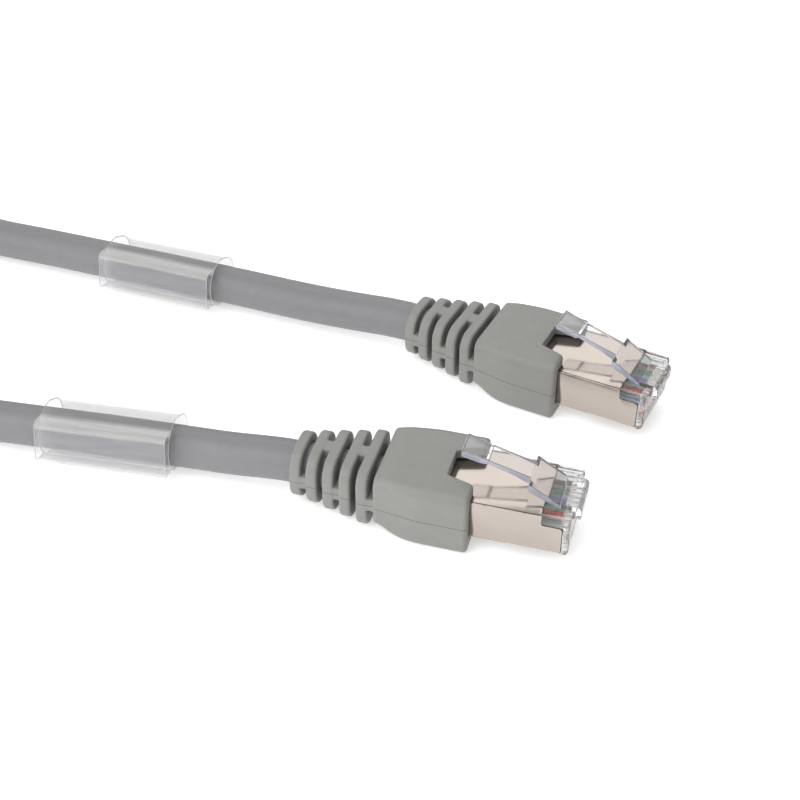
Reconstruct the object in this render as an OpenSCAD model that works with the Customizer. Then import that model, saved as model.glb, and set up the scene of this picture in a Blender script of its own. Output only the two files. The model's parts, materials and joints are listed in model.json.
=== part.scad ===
/* [Cable] */
// Outer diameter of the round cable jacket
cable_d = 6.5; // [5.8:0.1:6.6]
// Height of the cable axis over the underside of the plug body
cable_z = 2.7; // [2.5:0.1:2.9]

/* [Plug] */
// Width of the modular plug over its shield
plug_w = 11.7; // [11.6:0.05:11.8]
// Height of the modular plug over its shield
plug_h = 6.6; // [6.5:0.05:6.7]
// Length of the plug body from its nose to the rear wall
plug_len = 21.4; // [21:0.1:22]
// Distance between neighbouring contacts
pitch = 1.02; // [1:0.01:1.04]
// Thickness of the shield's sheet metal
sheet = 0.25; // [0.2:0.01:0.25]
// Distance from the nose to the front edge of the shield's top plate
top_edge = 4.3; // [4:0.1:4.6]
// Distance from the nose to the front edge of the shield's side plates
side_edge = 1.1; // [0.9:0.1:1.3]

/* [Latch] */
// Width of the latch between its root and its shoulders
latch_w = 6.4; // [6:0.1:6.6]
// Width of the latch's narrow tail
tail_w = 3.6; // [3.2:0.1:4]
// Width of the thumb pad at the free end
pad_w = 4.2; // [3.8:0.1:4.4]

/* [Boot] */
// Length of the boot's box-shaped body
body_len = 14.2; // [13:0.1:15]
// Half width of the boot at its front
body_hw = 7.6; // [7.4:0.1:7.8]
// Half width of the boot at the back of its body
rear_hw = 6.8; // [6.6:0.1:7]
// Height of the boot's roof over the underside of the plug body
roof_z = 8.4; // [8.2:0.1:8.6]
// Depth of the boot's floor under the underside of the plug body
floor_z = 2.3; // [2.1:0.1:2.5]
// Distance from one strain relief ring to the next
ring_pitch = 2.7; // [2.6:0.05:2.8]
// Thickness of a strain relief ring
ring_t = 1.7; // [1.5:0.05:1.8]

/* [Label sleeve] */
// Length of the clear label sleeve
sleeve_len = 20.5; // [18:0.5:22]
// Wall thickness of the sleeve
sleeve_wall = 0.3; // [0.25:0.05:0.35]
// Width of the label pocket
pocket_w = 6.8; // [6.2:0.1:7.2]

/* [Hank] */
// Length of a straight run of the tied hank
run_len = 49; // [44:1:54]
// Outer radius of the hank's round ends
hank_r = 31; // [31:0.5:32]
// Width of the tie's band
tie_w = 6; // [4:0.5:8]

/* [Hidden] */
$fn = 48;
eps = 0.01;
gap = 0.05;
cable_r = cable_d / 2;
half_w = plug_w / 2;
lift = floor_z;
bore_gap = 0.04;

// Places of the two ends: nose of each plug and the direction that it points in
nose_a = [16.8, -17.5, 0];
nose_b = [23.7, 12.55, 0];
yaw_a = 0;
yaw_b = -11.25;

// Boot: x runs back from the plug's nose
body_front = -14.4;
body_rear = body_front - body_len;
n_rings = 5;
boot_rear = body_rear - n_rings * ring_pitch;
roof_r = 1.7;
edge_r = 1.2;
bridge_w = 2.2;
ring_hw = [4.5, 6.4];
ring_hh = [4.4, 5.0];
ring_r = [3.4, 2.4];
notch_x = -18.5;
notch_rear_hw = 2.7;
notch_front_hw = 3.9;

// Wires: eight in a flat row at the nose, in a round bundle in the cable
row_z = 3.2;
wire_r = 0.47;
core_r = 0.25;
row_end = -12.8;
bundle_start = -18.4;
wire_front = -1.5;
wire_rear = -26;
bend_steps = 8;
bundle = [[-1.45, 0.5], [-1.45, -0.5], [-0.5, -1.4], [-0.5, 1.4],
          [0.5, 1.4], [0.5, -1.4], [1.45, -0.5], [1.45, 0.5]];
wire_colors = ["navajowhite", "darkorange", "honeydew", "royalblue",
               "lightblue", "forestgreen", "wheat", "saddlebrown"];
foil_r = 2.1;
jacket_bore_r = 2.12;
braid_r = cable_r + 0.12;
collar_r = braid_r + 0.02;

// Latch: its hinge line, in x and z of the plug
hinge_x = -2.5;
hinge_z = 6.8;
hinge_r = 0.4;
shoulder_x = -6.7;

// Label sleeves: middle of each sleeve, direction of its cable, and angle of its pocket over
// the level
sleeve_bore_r = cable_r + 0.75;
sleeve_r = sleeve_bore_r + sleeve_wall;
pocket_out = 5.9;
pocket_root = 2.6;
sleeve_a_at = [-55, -18.6, 4.3];
sleeve_b_at = [-64.2, 24.9, 4.3];
sleeve_a_yaw = 5;
sleeve_b_yaw = -3.5;
pocket_up_a = 14;
pocket_up_b = 12;
far_y = 1.8;
far_drop = 0.5;

// Hank: centre of its round end next to the leads, and the sizes of the wound bundle
hank_at = [-144, 4.5];
tie_t = 0.5;
bundle_w = 2 * cable_d;
bundle_h = 12.1;

// Route of the cable's axis from the boot of end A to the hank
route_a = [[-25.3, -17.5, 5], [-27.5, -17.5, 4.98], [-31, -17.65, 4.8], [-36, -17.8, 4.4],
           [-41, -17.8, 4.1], [-45, -17.95, 4], [-55, -18.6, 4], [-65, -19.45, 4],
           [-75, -20.3, 4], [-85, -21.15, 3.9], [-95, -21.9, 3.8], [-105, -22.5, 3.75],
           [-115, -22.9, 3.75], [-125, -23.15, 3.75], [-134, -23.25, 3.75],
           [-144, -23.25, 3.75]];

// Route of the cable's axis from the boot of end B to the hank, over the hank's first turn
route_b = [[-17.6, 20.8, 5], [-19.6, 21.18, 4.98], [-23.5, 21.65, 4.8], [-28, 22, 4.5],
           [-35, 22.55, 4.2], [-42, 23.2, 4.05], [-50, 23.95, 4], [-64.2, 24.9, 4],
           [-77, 25.7, 4], [-88, 26.4, 3.95], [-97, 26.9, 3.9], [-104, 27.3, 4.3],
           [-111, 27.65, 5.7], [-118, 28.1, 8], [-125, 28.55, 10], [-131, 28.85, 10.6],
           [-137, 28.98, 10.2], [-144, 29, 9.4]];

function mix(a, b, t) = a + (b - a) * t;
function unit(v) = v / norm(v);
function clamp(t) = max(0, min(1, t));
function ease(t) = clamp(t) * clamp(t) * (3 - 2 * clamp(t));
function arc(cx, cy, r, from, to, n = 8) =
    [for (i = [0:n]) let (a = mix(from, to, i / n)) [cx + r * cos(a), cy + r * sin(a)]];
function flip(points) = [for (i = [len(points) - 1:-1:0]) [points[i][0], -points[i][1]]];
function wire_y(i) = (i - 3.5) * pitch;
function heading(p, i) = unit(p[min(i + 1, len(p) - 1)] - p[max(i - 1, 0)]);
function ring_points(p, i, r, sides) =
    let (t = heading(p, i), s = unit(cross([0, 0, 1], t)), u = cross(t, s))
    [for (k = [0:sides - 1]) p[i] + r * (cos(360 * k / sides) * s + sin(360 * k / sides) * u)];

function sweep_points(p, r, sides) = [for (i = [0:len(p) - 1]) each ring_points(p, i, r, sides)];
function sweep_walls(n, sides) =
    [for (i = [0:n - 2], k = [0:sides - 1])
        let (next = (k + 1) % sides)
        [i * sides + k, (i + 1) * sides + k, (i + 1) * sides + next, i * sides + next]];

// Solid tube swept along a route, one ring of points at each of the route's points
module tube(route, r, sides) {
    n = len(route);
    near_cap = [for (k = [0:sides - 1]) k];
    far_cap = [for (k = [sides - 1:-1:0]) (n - 1) * sides + k];
    polyhedron(points = sweep_points(route, r, sides),
               faces = concat(sweep_walls(n, sides), [near_cap], [far_cap]));
}

// Hollow tube swept along a route
module pipe(route, r, bore, sides = 10) {
    n = len(route);
    inner = n * sides;
    last = (n - 1) * sides;
    bore_walls = [for (f = sweep_walls(n, sides)) [for (c = [3:-1:0]) inner + f[c]]];
    near_end = [for (k = [0:sides - 1])
        let (next = (k + 1) % sides) [k, next, inner + next, inner + k]];
    far_end = [for (k = [0:sides - 1])
        let (next = (k + 1) % sides)
        [inner + last + k, inner + last + next, last + next, last + k]];
    polyhedron(points = concat(sweep_points(route, r, sides), sweep_points(route, bore, sides)),
               faces = concat(sweep_walls(n, sides), bore_walls, near_end, far_end));
}

// Places a child made in the plug's own frame: nose at x 0, underside at z 0
module at_end(nose, yaw) {
    translate(nose)
        rotate([0, 0, yaw])
            translate([0, 0, lift])
                children();
}

module at_a() {
    at_end(nose_a, yaw_a) children();
}

module at_b() {
    at_end(nose_b, yaw_b) children();
}

// Box given by its lowest and highest corners
module box(low, high) {
    translate(low) cube(high - low);
}

// Round bar along X
module bar_x(from, to, r, y = 0, z = 0) {
    translate([from, y, z])
        rotate([0, 90, 0])
            cylinder(h = to - from, r = r);
}

// Extrudes an outline drawn in Y and Z along X
module extrude_x(from, to) {
    translate([from, 0, 0])
        rotate([90, 0, 90])
            linear_extrude(to - from)
                children();
}

// Extrudes an outline drawn in X and Z along Y, to both sides of the middle
module extrude_y(half) {
    translate([0, half, 0])
        rotate([90, 0, 0])
            linear_extrude(2 * half)
                children();
}

module rounded_square(hw, hh, r) {
    square([2 * (hw - r), 2 * hh], center = true);
    square([2 * hw, 2 * (hh - r)], center = true);
    for (sy = [-1, 1], sz = [-1, 1])
        translate([sy * (hw - r), sz * (hh - r)]) circle(r);
}

// Box-shaped body of the boot: its plan, side view and cross-section intersected
module boot_body() {
    mid = body_rear + 6;
    near_side = concat(
        arc(body_rear + 0.8, -rear_hw + 0.8, 0.8, 180, 262, 4),
        [[mid, -body_hw]],
        arc(body_front - edge_r, -body_hw + edge_r, edge_r, -90, 0, 5));
    roof = concat(
        arc(body_front - edge_r, roof_z - edge_r, edge_r, 0, 90, 5),
        [[body_rear + 5, roof_z], [body_rear + 2.5, roof_z - 0.15]],
        arc(body_rear + 1, roof_z - 1.5, 1, 100, 180, 4));
    underside = concat(
        arc(body_rear + 1.2, 0.2, 1.2, 180, 235, 4),
        [[body_rear + 2.4, -floor_z + 0.9], [body_rear + 4.6, -floor_z + 0.1],
         [body_rear + 6, -floor_z]],
        arc(body_front - edge_r, -floor_z + edge_r, edge_r, -90, 0, 5));
    intersection() {
        translate([0, 0, -5])
            linear_extrude(20)
                polygon(concat(near_side, flip(near_side)));
        extrude_y(10)
            polygon(concat(roof, underside));
        extrude_x(body_rear - 1, body_front + 1)
            polygon(concat(
                arc(body_hw - roof_r, roof_z - roof_r, roof_r, 0, 90),
                arc(-body_hw + roof_r, roof_z - roof_r, roof_r, 90, 180),
                arc(-body_hw + edge_r, -floor_z + edge_r, edge_r, 180, 270),
                arc(body_hw - edge_r, -floor_z + edge_r, edge_r, 270, 360)));
    }
}

// Outline of strain relief ring i, where 0 is the smallest, next to the cable
module ring_outline(i) {
    t = i / (n_rings - 1);
    rounded_square(mix(ring_hw[0], ring_hw[1], t), mix(ring_hh[0], ring_hh[1], t),
                   mix(ring_r[0], ring_r[1], t));
}

// Rings with a bridge pair in each gap: at the sides and at top and bottom by turns
module boot_rings() {
    for (i = [0:n_rings - 1]) {
        start = boot_rear + i * ring_pitch;
        translate([0, 0, cable_z]) {
            extrude_x(start, start + ring_t) ring_outline(i);
            extrude_x(start + ring_t - eps, start + ring_pitch + eps)
                intersection() {
                    ring_outline(i);
                    if (i % 2 == 0) square([20, bridge_w], center = true);
                    else square([bridge_w, 20], center = true);
                }
        }
    }
}

module boot() {
    color("darkgray")
        difference() {
            union() {
                boot_body();
                boot_rings();
            }
            box([-plug_len - 0.6, -half_w - 0.1, -0.1], [0, half_w + 0.1, plug_h + 0.1]);
            bar_x(body_rear + 0.6, -plug_len, collar_r + sheet + 0.1, 0, cable_z);
            bar_x(boot_rear - 1, -plug_len, cable_r + bore_gap, 0, cable_z);
            translate([0, 0, plug_h])
                linear_extrude(5)
                    polygon([[notch_x, -notch_rear_hw], [body_front + eps, -notch_front_hw],
                             [body_front + eps, notch_front_hw], [notch_x, notch_rear_hw]]);
        }
}

// Clear body: nose with side rails, core under the shield, fixed root of the latch
module plug_housing() {
    core_hw = half_w - sheet - 0.02;
    color("azure", 0.4)
        difference() {
            union() {
                box([-top_edge + 0.02, -half_w, 0], [0, half_w, plug_h - 0.5]);
                for (side = [-1, 1])
                    translate([-top_edge / 2 - 0.05, side * (half_w - 0.45), 0])
                        box([-top_edge / 2 + 0.1, -0.35, plug_h - 0.6],
                            [top_edge / 2 - 0.1, 0.35, plug_h]);
                box([-plug_len, -core_hw, sheet + 0.02],
                    [-top_edge + 0.1, core_hw, plug_h - sheet - 0.05]);
                extrude_y(latch_w / 2)
                    polygon(concat(
                        [[-2.05, 5], [0.3, 5]],
                        arc(0.5, 5.6, 0.6, -90, 0, 4),
                        arc(0.1, 6.25, 1, 0, 90, 6),
                        [[-2.05, 7.25]]));
            }
            for (side = [-1, 1])
                translate([0, side * half_w, 0])
                    box([-top_edge - 1, -sheet - 0.02, -1], [-side_edge + 0.02, sheet + 0.02, 4.95]);
            box([-13.2, -4.75, row_z - 1.2], [-5.2, 4.75, row_z + 1.3]);
            box([-plug_len - 1, -4.75, 0.52], [-13.1, 4.75, 5.4]);
            for (i = [0:7]) {
                bar_x(-5.3, wire_front + 0.1, wire_r + 0.02, wire_y(i), row_z);
                box([-6.2, wire_y(i) - 0.25, -1], [1, wire_y(i) + 0.25, row_z - 0.4]);
            }
        }
}

// Lever: shoulders near the root, narrow tail, thicker thumb pad at the free end
module latch() {
    pad_x = -13.2;
    tip_x = -16.8;
    color("azure", 0.4)
        intersection() {
            extrude_y(5)
                union() {
                    translate([hinge_x, hinge_z]) circle(hinge_r);
                    polygon([[hinge_x + 0.1, hinge_z + hinge_r - 0.02], [shoulder_x, 9.85],
                             [pad_x, 11.7], [tip_x, 12.65], [tip_x, 11.6],
                             [pad_x - 0.3, 10.65], [pad_x + 0.2, 10.9], [-9, 9.55],
                             [shoulder_x, 8.45], [hinge_x - 0.1, hinge_z - hinge_r + 0.02]]);
                }
            translate([0, 0, 5])
                linear_extrude(10)
                    polygon([[hinge_x + 1, latch_w / 2], [hinge_x + 1, -latch_w / 2],
                             [shoulder_x, -latch_w / 2 - 0.1], [shoulder_x, -tail_w / 2],
                             [pad_x, -tail_w / 2], [tip_x, -pad_w / 2],
                             [tip_x, pad_w / 2], [pad_x, tail_w / 2],
                             [shoulder_x, tail_w / 2], [shoulder_x, latch_w / 2 + 0.1]]);
        }
}

// Folded sheet shell with stepped side plates, a flat top plate and a round crimp collar
module shield() {
    slit = 0.12;
    top_hw = half_w - sheet - slit;
    color("tan")
        union() {
            for (side = [-1, 1])
                translate([0, side * (half_w - sheet / 2), 0])
                    extrude_y(sheet / 2)
                        difference() {
                            polygon([[-plug_len, 0], [-side_edge, 0], [-side_edge, 4.93],
                                     [-top_edge + 0.2, 4.93], [-top_edge + 0.2, plug_h],
                                     [-plug_len, plug_h]]);
                            translate([-side_edge, 4.93])
                                rotate(45) square(0.7, center = true);
                        }
            box([-plug_len, -top_hw, plug_h - sheet], [-top_edge, top_hw, plug_h]);
            for (side = [-1, 1])
                box([-plug_len, side > 0 ? top_hw - eps : -half_w + eps, plug_h - sheet],
                    [-plug_len + 2, side > 0 ? half_w - eps : -top_hw + eps, plug_h]);
            box([-plug_len, -half_w + eps, 0], [-8.5, half_w - eps, sheet]);
            difference() {
                union() {
                    box([-plug_len - sheet, -half_w, 0], [-plug_len, half_w, plug_h]);
                    bar_x(-27.5, -plug_len, collar_r + sheet, 0, cable_z);
                }
                bar_x(-28, -plug_len + 1, collar_r, 0, cable_z);
            }
        }
}

// Eight gold blades, each with two teeth that pierce its wire
module contacts() {
    shoulder_z = row_z - 0.5;
    tooth_z = row_z + 0.3;
    color("gold")
        for (i = [0:7])
            translate([0, wire_y(i), 0])
                extrude_y(0.175)
                    polygon([[-5, 0.5], [-1.6, 0.5], [-1.3, 0.8], [-1.3, shoulder_z],
                             [-1.8, shoulder_z], [-2.1, tooth_z], [-2.4, shoulder_z],
                             [-3.6, shoulder_z], [-3.9, tooth_z], [-4.2, shoulder_z],
                             [-5, shoulder_z]]);
}

// Clear bar with eight holes that keeps the wires in their order
module wire_guide() {
    color("white", 0.5)
        difference() {
            box([-12.6, -4.6, row_z - 1.05], [-6.4, 4.6, row_z + 1.15]);
            for (i = [0:7])
                bar_x(-13, -6, wire_r + 0.02, wire_y(i), row_z);
        }
}

// Wire i's axis: a straight stretch in the flat row, an S bend, a straight stretch in the bundle
function wire_route(i) =
    let (row = [row_end, wire_y(i), row_z],
         far = [bundle_start, bundle[i][0], cable_z + bundle[i][1]])
    [[wire_front, row[1], row[2]],
     for (k = [0:bend_steps])
         let (t = k / bend_steps)
         [mix(row[0], far[0], t),
          mix(row[1], far[1], ease((t - 0.35) / 0.65)),
          mix(row[2], far[2], ease(t / 0.6))],
     [wire_rear, far[1], far[2]]];

module wire(i) {
    color(wire_colors[i])
        pipe(wire_route(i), wire_r, core_r);
}

module wire_cores() {
    color("peru")
        for (i = [0:7])
            tube(wire_route(i), core_r - 0.01, 8);
}

module foil_wrap() {
    color("silver")
        difference() {
            bar_x(boot_rear, -19, foil_r, 0, cable_z);
            bar_x(boot_rear - 1, -18, foil_r - 0.06, 0, cable_z);
        }
}

// Screen folded back over the jacket and held by the collar
module braid() {
    color("lightgray")
        difference() {
            bar_x(-27.5, -plug_len - sheet - gap, braid_r, 0, cable_z);
            bar_x(-28, -plug_len, cable_r + eps, 0, cable_z);
        }
}

// Jacket of the cable inside the boot
module jacket_end() {
    color("slategray")
        difference() {
            bar_x(boot_rear, -plug_len - sheet - gap, cable_r, 0, cable_z);
            bar_x(boot_rear - 1, -plug_len, jacket_bore_r, 0, cable_z);
        }
}

// Section of the sleeve's loop: round on the pocket's side, drawn out and lower on the other
module sleeve_loop(r) {
    hull() {
        circle(r);
        translate([far_y, 0]) circle(r - far_drop);
    }
}

// Extruded sleeve: an oval loop for the cable and a flat pocket for a label, open at both ends
module label_sleeve() {
    inner_w = pocket_w - 2 * sleeve_wall;
    color("white", 0.4)
        extrude_x(-sleeve_len / 2, sleeve_len / 2)
            difference() {
                union() {
                    sleeve_loop(sleeve_r);
                    translate([-pocket_out, -pocket_w / 2])
                        square([pocket_out - pocket_root, pocket_w]);
                }
                sleeve_loop(sleeve_bore_r);
                difference() {
                    translate([-pocket_out + sleeve_wall, -inner_w / 2])
                        square([pocket_out - sleeve_wall - pocket_root - 0.4, inner_w]);
                    circle(sleeve_r);
                }
            }
}

module label_sleeve_a() {
    translate(sleeve_a_at)
        rotate([0, 0, sleeve_a_yaw])
            rotate([-pocket_up_a, 0, 0])
                label_sleeve();
}

module label_sleeve_b() {
    translate(sleeve_b_at)
        rotate([0, 0, sleeve_b_yaw])
            rotate([-pocket_up_b, 0, 0])
                label_sleeve();
}

module lead(route) {
    color("slategray") tube(route, cable_r, 12);
}

module stadium(r) {
    translate([-run_len, -r]) square([run_len, 2 * r]);
    circle(r);
    translate([-run_len, 0]) circle(r);
}

// Outer shape of the wound cable: two and a half long turns
module cable_hank() {
    color("slategray")
        translate([hank_at[0], hank_at[1], tie_t])
            linear_extrude(bundle_h)
                difference() {
                    stadium(hank_r);
                    stadium(hank_r - bundle_w);
                }
}

// Two bands, one round each side of the hank
module hank_ties() {
    color("dimgray")
        for (side = [-1, 1])
            translate([hank_at[0] - run_len / 2, hank_at[1] + side * (hank_r - bundle_w / 2), 0])
                difference() {
                    translate([-tie_w / 2, -bundle_w / 2 - tie_t, 0])
                        cube([tie_w, bundle_w + 2 * tie_t, bundle_h + 2 * tie_t]);
                    translate([-tie_w, -bundle_w / 2, tie_t])
                        cube([2 * tie_w, bundle_w, bundle_h]);
                }
}

at_a() boot();  // boot_a
at_a() plug_housing();  // plug_housing_a
at_a() latch();  // latch_a
at_a() shield();  // shield_a
at_a() contacts();  // contacts_a
at_a() wire_guide();  // wire_guide_a
at_a() wire(0);  // wire_white_orange_a
at_a() wire(1);  // wire_orange_a
at_a() wire(2);  // wire_white_green_a
at_a() wire(3);  // wire_blue_a
at_a() wire(4);  // wire_white_blue_a
at_a() wire(5);  // wire_green_a
at_a() wire(6);  // wire_white_brown_a
at_a() wire(7);  // wire_brown_a
at_a() wire_cores();  // wire_cores_a
at_a() foil_wrap();  // foil_wrap_a
at_a() braid();  // braid_a
at_a() jacket_end();  // jacket_end_a
label_sleeve_a();
at_b() boot();  // boot_b
at_b() plug_housing();  // plug_housing_b
at_b() latch();  // latch_b
at_b() shield();  // shield_b
at_b() contacts();  // contacts_b
at_b() wire_guide();  // wire_guide_b
at_b() wire(0);  // wire_white_orange_b
at_b() wire(1);  // wire_orange_b
at_b() wire(2);  // wire_white_green_b
at_b() wire(3);  // wire_blue_b
at_b() wire(4);  // wire_white_blue_b
at_b() wire(5);  // wire_green_b
at_b() wire(6);  // wire_white_brown_b
at_b() wire(7);  // wire_brown_b
at_b() wire_cores();  // wire_cores_b
at_b() foil_wrap();  // foil_wrap_b
at_b() braid();  // braid_b
at_b() jacket_end();  // jacket_end_b
label_sleeve_b();
lead(route_a);  // lead_a
lead(route_b);  // lead_b
cable_hank();
hank_ties();
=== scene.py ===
import json
import math
import bpy
import numpy as np
from mathutils import Matrix, Vector
from mathutils.geometry import tessellate_polygon


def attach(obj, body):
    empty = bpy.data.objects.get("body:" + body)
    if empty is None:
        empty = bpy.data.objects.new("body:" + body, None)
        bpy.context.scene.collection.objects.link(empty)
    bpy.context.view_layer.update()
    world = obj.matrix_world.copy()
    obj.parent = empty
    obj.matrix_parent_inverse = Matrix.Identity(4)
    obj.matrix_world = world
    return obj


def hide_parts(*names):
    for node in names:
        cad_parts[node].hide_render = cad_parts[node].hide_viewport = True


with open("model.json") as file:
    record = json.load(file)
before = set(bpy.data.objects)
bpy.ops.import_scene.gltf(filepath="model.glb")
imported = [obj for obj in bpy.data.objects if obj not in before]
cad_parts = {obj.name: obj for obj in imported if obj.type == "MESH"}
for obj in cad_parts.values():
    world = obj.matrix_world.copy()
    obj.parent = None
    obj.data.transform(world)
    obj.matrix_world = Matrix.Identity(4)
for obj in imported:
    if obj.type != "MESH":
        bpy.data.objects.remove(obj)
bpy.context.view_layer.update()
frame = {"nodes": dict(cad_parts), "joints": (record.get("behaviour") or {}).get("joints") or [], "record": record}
MM = 0.001

# ---------------------------------------------------------------- places taken from the frame
# Shapes of an end are drawn in its plug's own frame, in millimetres: the nose's face is at
# x = 0 and faces +X, the plug's underside is at z = 0.
NOSE_MOUNT_Z = 4.0
MOUNTS = {m["name"]: m for m in frame["record"]["mounts"]}
JOINTS = {j["name"]: j for j in frame["joints"]}


def plug_place(end):
    """Matrix from the plug's own frame, in millimetres, to the row frame."""
    mount = MOUNTS[f"plug_{end}_nose"]
    x = Vector(mount["axis"]).normalized()
    z = Vector((0, 0, 1))
    y = z.cross(x)
    turn = Matrix((x, y, z)).transposed().to_4x4()
    origin = Vector(mount["pos_m"]) - NOSE_MOUNT_Z * MM * z
    return Matrix.Translation(origin) @ turn @ Matrix.Scale(MM, 4)


# ---------------------------------------------------------------- camera
FOCAL = 67.78
CAMERA_FROM_NOSE = Vector((0.01865, -0.1577, 0.15456))
TARGET_FROM_NOSE = Vector((-0.03318, 0.02402, 0))


def make_camera():
    nose = Vector(MOUNTS["plug_a_nose"]["pos_m"])
    nose.z = 0
    data = bpy.data.cameras.new("camera")
    data.lens = FOCAL
    data.sensor_width = 36
    data.clip_start = 0.01
    data.clip_end = 5
    camera = bpy.data.objects.new("camera", data)
    bpy.context.collection.objects.link(camera)
    camera.location = nose + CAMERA_FROM_NOSE
    view = nose + TARGET_FROM_NOSE - camera.location
    camera.rotation_euler = view.to_track_quat("-Z", "Y").to_euler()
    bpy.context.scene.camera = camera


# ---------------------------------------------------------------- materials
def material(name, color, roughness, **values):
    """Principled material. values are the shader's other sockets."""
    made = bpy.data.materials.new(name)
    made.use_nodes = True
    shader = made.node_tree.nodes["Principled BSDF"]
    shader.inputs["Base Color"].default_value = (*color, 1)
    shader.inputs["Roughness"].default_value = roughness
    for socket, value in values.items():
        shader.inputs[socket.replace("_", " ")].default_value = value
    return made


def node(made, kind, **values):
    new = made.node_tree.nodes.new(kind)
    for key, value in values.items():
        if key in new.inputs:
            new.inputs[key].default_value = value
        else:
            setattr(new, key, value)
    return new


def wire_up(made, source, output, target, socket):
    made.node_tree.links.new(source.outputs[output], target.inputs[socket])


def shader_of(made):
    return made.node_tree.nodes["Principled BSDF"]


def scaled(color, share):
    return tuple(c * share for c in color)


def set_ramp(ramp, *stops):
    """Sets a colour ramp's stops, each a position and a colour."""
    for element, (position, color) in zip(ramp.color_ramp.elements, stops):
        element.position = position
        element.color = (*color, 1)


def mottle(made, color, spread, scale):
    """Colour that wanders by spread to both sides of color."""
    place = node(made, "ShaderNodeTexCoord")
    noise = node(made, "ShaderNodeTexNoise", Scale=scale, Detail=4)
    ramp = node(made, "ShaderNodeValToRGB")
    wire_up(made, place, "Object", noise, "Vector")
    wire_up(made, noise, "Fac", ramp, "Fac")
    set_ramp(ramp, (0.3, scaled(color, 1 - spread)), (0.7, scaled(color, 1 + spread)))
    wire_up(made, ramp, "Color", shader_of(made), "Base Color")
    return place


def grain(made, place, scale, height):
    """Fine bump, as of an eroded mould. height is its strength."""
    noise = node(made, "ShaderNodeTexNoise", Scale=scale, Detail=2)
    bump = node(made, "ShaderNodeBump", Strength=height, Distance=GRAIN_DEPTH)
    wire_up(made, place, "Object", noise, "Vector")
    wire_up(made, noise, "Fac", bump, "Height")
    wire_up(made, bump, "Normal", shader_of(made), "Normal")


def uneven_gloss(made, place, low, high, scale):
    """Roughness that wanders between low and high."""
    noise = node(made, "ShaderNodeTexNoise", Scale=scale, Detail=3)
    spread = node(made, "ShaderNodeMapRange")
    spread.inputs["To Min"].default_value = low
    spread.inputs["To Max"].default_value = high
    wire_up(made, place, "Object", noise, "Vector")
    wire_up(made, noise, "Fac", spread, "Value")
    wire_up(made, spread, "Result", shader_of(made), "Roughness")


def parting_line(made, place, height, half_width, share):
    """Thin darker line all round at one height, where the two halves of a mould met."""
    split = node(made, "ShaderNodeSeparateXYZ")
    offset = node(made, "ShaderNodeMath", operation="SUBTRACT")
    offset.inputs[1].default_value = height
    distance = node(made, "ShaderNodeMath", operation="ABSOLUTE")
    line = node(made, "ShaderNodeMapRange")
    line.inputs["From Min"].default_value = 0.5 * half_width
    line.inputs["From Max"].default_value = half_width
    line.inputs["To Min"].default_value = share
    line.inputs["To Max"].default_value = 1
    tint = node(made, "ShaderNodeMix", data_type="RGBA", blend_type="MULTIPLY")
    tint.inputs[0].default_value = 1
    wire_up(made, place, "Object", split, "Vector")
    wire_up(made, split, "Z", offset, 0)
    wire_up(made, offset, 0, distance, 0)
    wire_up(made, distance, 0, line, "Value")
    color = shader_of(made).inputs["Base Color"].links[0].from_socket
    made.node_tree.links.new(color, tint.inputs[6])
    made.node_tree.links.new(line.outputs["Result"], tint.inputs[7])
    made.node_tree.links.new(tint.outputs[2], shader_of(made).inputs["Base Color"])


def boot_material():
    made = material("boot_plastic", BOOT_GREY, 0.5)
    place = mottle(made, BOOT_GREY, 0.03, 900)
    parting_line(made, place, SEAM_HEIGHT, SEAM_HALF_W, 0.5)
    uneven_gloss(made, place, 0.45, 0.6, 700)
    grain(made, place, 6000, 0.4)
    return made


def jacket_material():
    made = material("cable_jacket", JACKET_GREY, 0.45)
    place = mottle(made, JACKET_GREY, 0.03, 700)
    uneven_gloss(made, place, 0.42, 0.55, 500)
    grain(made, place, 4500, 0.4)
    return made


def shield_material():
    """Nickel plated sheet, nearly a mirror, with faint rolling lines along the plug."""
    made = material("shield_nickel", SHIELD_METAL, 0.14, Metallic=1.0)
    place = mottle(made, SHIELD_METAL, 0.02, 250)
    uneven_gloss(made, place, 0.1, 0.2, 600)
    stretch = node(made, "ShaderNodeMapping")
    stretch.inputs["Scale"].default_value = (0.1, 1, 1)
    wire_up(made, place, "Object", stretch, "Vector")
    lines = node(made, "ShaderNodeTexNoise", Scale=4000, Detail=2)
    bump = node(made, "ShaderNodeBump", Strength=0.05, Distance=0.00001)
    wire_up(made, stretch, "Vector", lines, "Vector")
    wire_up(made, lines, "Fac", bump, "Height")
    wire_up(made, bump, "Normal", shader_of(made), "Normal")
    return made


def film_material(name, color, roughness, cover):
    """Milky film with faint lines drawn along it. It hides a share of what is behind it."""
    made = material(name, color, roughness, Alpha=cover)
    place = node(made, "ShaderNodeTexCoord")
    stretch = node(made, "ShaderNodeMapping")
    stretch.inputs["Scale"].default_value = (0.04, 1, 1)
    lines = node(made, "ShaderNodeTexNoise", Scale=1400, Detail=3)
    ramp = node(made, "ShaderNodeValToRGB")
    set_ramp(ramp, (0.35, scaled(color, 0.75)), (0.65, color))
    wire_up(made, place, "Object", stretch, "Vector")
    wire_up(made, stretch, "Vector", lines, "Vector")
    wire_up(made, lines, "Fac", ramp, "Fac")
    wire_up(made, ramp, "Color", shader_of(made), "Base Color")
    return made


def refracting_material(name, color, roughness, clear):
    """Clear polycarbonate that bends the light, with a slightly wavy moulded surface."""
    made = material(name, color, roughness, IOR=1.58, Transmission_Weight=clear)
    place = node(made, "ShaderNodeTexCoord")
    grain(made, place, 1200, 0.1)
    return made


def metal_material(name, color, roughness):
    made = material(name, color, roughness, Metallic=1.0)
    place = mottle(made, color, 0.06, METAL_GRAIN)
    grain(made, place, METAL_GRAIN, 0.3)
    return made


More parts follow.
